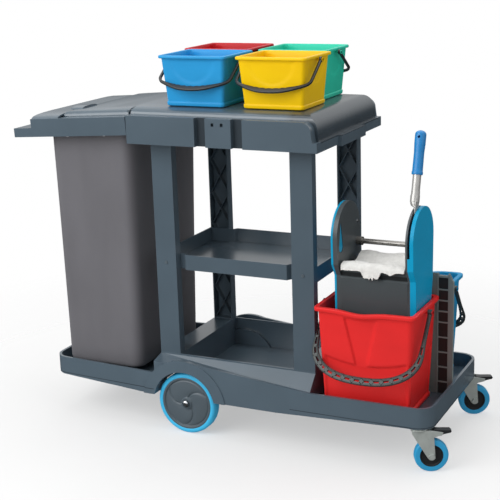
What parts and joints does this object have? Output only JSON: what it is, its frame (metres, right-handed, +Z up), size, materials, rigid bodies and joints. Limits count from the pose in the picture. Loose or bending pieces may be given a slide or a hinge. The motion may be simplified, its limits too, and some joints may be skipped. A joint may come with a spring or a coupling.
{
  "type": "janitor cart",
  "caption": "Wheeled janitor cart with a moulded base and shelf, waste bag under a hinged lid, small buckets on a deck and mop buckets with a lever press wringer.",
  "frame": {"origin": "floor point under the middle of the bounding box", "axes": "+X along the cart towards the casters and mop buckets, +Y towards the back, +Z up"},
  "size_m": [1.4136, 0.5674, 1.186],
  "materials": {
    "body_plastic": "fine moulded grain, satin",
    "steel": "bright plated",
    "zinc": "zinc plated pressing",
    "peg_plastic": "smooth",
    "bag_fabric": "coated woven cloth",
    "divider_plastic": "satin",
    "tyre_blue": "smooth solid tyre",
    "hub_grey": "satin",
    "tread_blue": "smooth",
    "black_plastic": "satin",
    "bucket_blue": "semi gloss",
    "bucket_yellow": "semi gloss",
    "bucket_red": "semi gloss",
    "bucket_green": "semi gloss",
    "mop_red": "semi gloss",
    "mop_blue": "semi gloss",
    "bail_dark": "satin",
    "wringer_grey": "satin",
    "wringer_blue": "semi gloss",
    "grip_blue": "soft grip",
    "cloth_white": "cotton"
  },
  "bodies": {
    "cart": {"base_tray": "body_plastic", "front_left_post": "body_plastic", "front_right_post": "body_plastic", "rear_left_post": "body_plastic", "rear_right_post": "body_plastic", "shelf": "body_plastic", "shelf_screws": "steel", "top_deck": "body_plastic", "bag_holder": "body_plastic", "bag_pegs": "peg_plastic", "waste_bag": "bag_fabric", "lid_hinge_pin": "steel", "bucket_divider": "divider_plastic", "axle": "steel", "axle_brackets": "body_plastic", "axle_caps": "steel", "caster_stems": "zinc"},
    "right_wheel": {"right_tyre": "tyre_blue", "right_hub": "hub_grey"},
    "left_wheel": {"left_tyre": "tyre_blue", "left_hub": "hub_grey"},
    "right_caster": {"right_fork": "zinc", "right_caster_bolt": "steel"},
    "right_caster_wheel": {"right_caster_tread": "tread_blue", "right_caster_hub": "black_plastic"},
    "right_brake_pedal": {"right_pedal": "black_plastic"},
    "left_caster": {"left_fork": "zinc", "left_caster_bolt": "steel"},
    "left_caster_wheel": {"left_caster_tread": "tread_blue", "left_caster_hub": "black_plastic"},
    "left_brake_pedal": {"left_pedal": "black_plastic"},
    "lid": {"bag_lid": "body_plastic"},
    "blue_bucket": {"blue_bucket": "bucket_blue"},
    "blue_bail": {"blue_bail": "bail_dark"},
    "yellow_bucket": {"yellow_bucket": "bucket_yellow"},
    "yellow_bail": {"yellow_bail": "bail_dark"},
    "red_bucket": {"red_bucket": "bucket_red"},
    "red_bail": {"red_bail": "bail_dark"},
    "green_bucket": {"green_bucket": "bucket_green"},
    "green_bail": {"green_bail": "bail_dark"},
    "red_mop_bucket": {"red_mop_bucket": "mop_red"},
    "red_mop_bail": {"red_mop_bail": "bail_dark"},
    "blue_mop_bucket": {"blue_mop_bucket": "mop_blue"},
    "blue_mop_bail": {"blue_mop_bail": "bail_dark"},
    "wringer": {"wringer_frame": "wringer_grey", "front_gate": "wringer_grey", "right_cover": "wringer_blue", "left_cover": "wringer_blue", "cover_screws": "steel", "cross_rod": "steel", "lever_pin": "steel", "mop_cloth": "cloth_white"},
    "lever": {"lever_hub": "wringer_grey", "lever_tube": "steel", "lever_grip": "grip_blue"},
    "press": {"press_shaft": "steel", "press_gear": "wringer_grey", "press_plate": "wringer_grey"}
  },
  "joints": [
    {"name": "right_wheel_spin", "type": "hinge", "parent": "cart", "child": "right_wheel", "pos_m": [-0.14254, -0.2195, 0.1], "axis": [0, 1, 0], "continuous": true},
    {"name": "left_wheel_spin", "type": "hinge", "parent": "cart", "child": "left_wheel", "pos_m": [-0.14254, 0.2195, 0.1], "axis": [0, 1, 0], "continuous": true},
    {"name": "right_caster_swivel", "type": "hinge", "parent": "cart", "child": "right_caster", "pos_m": [0.61746, -0.23, 0.13], "axis": [0, 0, 1], "continuous": true},
    {"name": "right_caster_spin", "type": "hinge", "parent": "right_caster", "child": "right_caster_wheel", "pos_m": [0.64982, -0.21422, 0.05], "axis": [-0.4384, 0.8988, 0], "continuous": true},
    {"name": "right_brake", "type": "hinge", "parent": "right_caster", "child": "right_brake_pedal", "pos_m": [0.6642, -0.20721, 0.121], "axis": [-0.4384, 0.8988, 0], "range_deg": [0, 10]},
    {"name": "left_caster_swivel", "type": "hinge", "parent": "cart", "child": "left_caster", "pos_m": [0.61746, 0.23, 0.13], "axis": [0, 0, 1], "continuous": true},
    {"name": "left_caster_spin", "type": "hinge", "parent": "left_caster", "child": "left_caster_wheel", "pos_m": [0.64982, 0.24578, 0.05], "axis": [-0.4384, 0.8988, 0], "continuous": true},
    {"name": "left_brake", "type": "hinge", "parent": "left_caster", "child": "left_brake_pedal", "pos_m": [0.6642, 0.25279, 0.121], "axis": [-0.4384, 0.8988, 0], "range_deg": [0, 10]},
    {"name": "lid_hinge", "type": "hinge", "parent": "cart", "child": "lid", "pos_m": [-0.30679, 0, 1.01829], "axis": [0, 1, 0], "range_deg": [0, 100]},
    {"name": "blue_bucket_lift", "type": "slide", "parent": "cart", "child": "blue_bucket", "axis": [0, 0, 1], "range_m": [0, 0.25]},
    {"name": "blue_bail_swing", "type": "hinge", "parent": "blue_bucket", "child": "blue_bail", "pos_m": [-0.09554, -0.106, 1.172], "axis": [-1, 0, 0], "range_deg": [0, 126]},
    {"name": "yellow_bucket_lift", "type": "slide", "parent": "cart", "child": "yellow_bucket", "axis": [0, 0, 1], "range_m": [0, 0.25]},
    {"name": "yellow_bail_swing", "type": "hinge", "parent": "yellow_bucket", "child": "yellow_bail", "pos_m": [0.16046, -0.106, 1.172], "axis": [-1, 0, 0], "range_deg": [0, 126]},
    {"name": "red_bucket_lift", "type": "slide", "parent": "cart", "child": "red_bucket", "axis": [0, 0, 1], "range_m": [0, 0.25]},
    {"name": "red_bail_swing", "type": "hinge", "parent": "red_bucket", "child": "red_bail", "pos_m": [-0.12154, 0.106, 1.172], "axis": [1, 0, 0], "range_deg": [0, 126]},
    {"name": "green_bucket_lift", "type": "slide", "parent": "cart", "child": "green_bucket", "axis": [0, 0, 1], "range_m": [0, 0.25]},
    {"name": "green_bail_swing", "type": "hinge", "parent": "green_bucket", "child": "green_bail", "pos_m": [0.13446, 0.106, 1.172], "axis": [1, 0, 0], "range_deg": [0, 126]},
    {"name": "red_mop_bucket_lift", "type": "slide", "parent": "cart", "child": "red_mop_bucket", "axis": [0, 0, 1], "range_m": [0, 0.12]},
    {"name": "red_mop_bail_swing", "type": "hinge", "parent": "red_mop_bucket", "child": "red_mop_bail", "pos_m": [0.45446, -0.128, 0.452], "axis": [-1, 0, 0], "range_deg": [0, 100]},
    {"name": "blue_mop_bucket_lift", "type": "slide", "parent": "cart", "child": "blue_mop_bucket", "axis": [0, 0, 1], "range_m": [0, 0.12]},
    {"name": "blue_mop_bail_swing", "type": "hinge", "parent": "blue_mop_bucket", "child": "blue_mop_bail", "pos_m": [0.45446, 0.128, 0.452], "axis": [1, 0, 0], "range_deg": [0, 142]},
    {"name": "wringer_lift", "type": "slide", "parent": "red_mop_bucket", "child": "wringer", "axis": [0, 0, 1], "range_m": [0, 0.2]},
    {"name": "lever_pull", "type": "hinge", "parent": "wringer", "child": "lever", "pos_m": [0.57446, -0.132, 0.651], "axis": [1, 0, 0], "range_deg": [0, 85]},
    {"name": "press_swing", "type": "hinge", "parent": "wringer", "child": "press", "pos_m": [0.45746, -0.0729, 0.57535], "axis": [1, 0, 0], "range_deg": [-30, 0]}
  ],
  "couplings": [
    {"joint": "press_swing", "follows": "lever_pull", "ratio": -0.33333}
  ]
}
